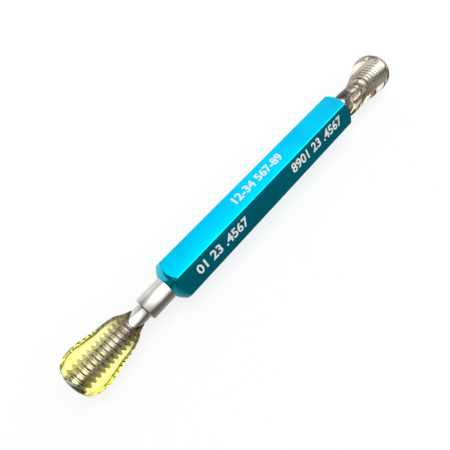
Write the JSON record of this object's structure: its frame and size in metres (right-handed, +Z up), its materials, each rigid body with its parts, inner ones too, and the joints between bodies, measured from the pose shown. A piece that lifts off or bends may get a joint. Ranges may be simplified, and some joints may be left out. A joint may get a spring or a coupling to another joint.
{
  "type": "thread plug gauge",
  "caption": "Double-ended thread plug gauge: hexagonal handle with a GO and a NO-GO thread plug wedged in its ends, each dipped in a clear seal coating.",
  "frame": {"origin": "middle of the handle's underside flat, on the surface that the gauge lies on", "axes": "+X along the gauge towards the NO-GO end, +Z up"},
  "size_m": [0.1083, 0.0108, 0.0098],
  "materials": {
    "anodised_handle": "satin teal anodised, drawn along its length",
    "gauge_steel": "ground and lapped",
    "seal_coating": "clear glossy pale amber seal coating",
    "printed_marks": "white marking ink"
  },
  "bodies": {
    "root": {"handle": "anodised_handle", "go_plug": "gauge_steel", "nogo_plug": "gauge_steel", "go_coating": "seal_coating", "nogo_coating": "seal_coating"}
  },
  "joints": []
}
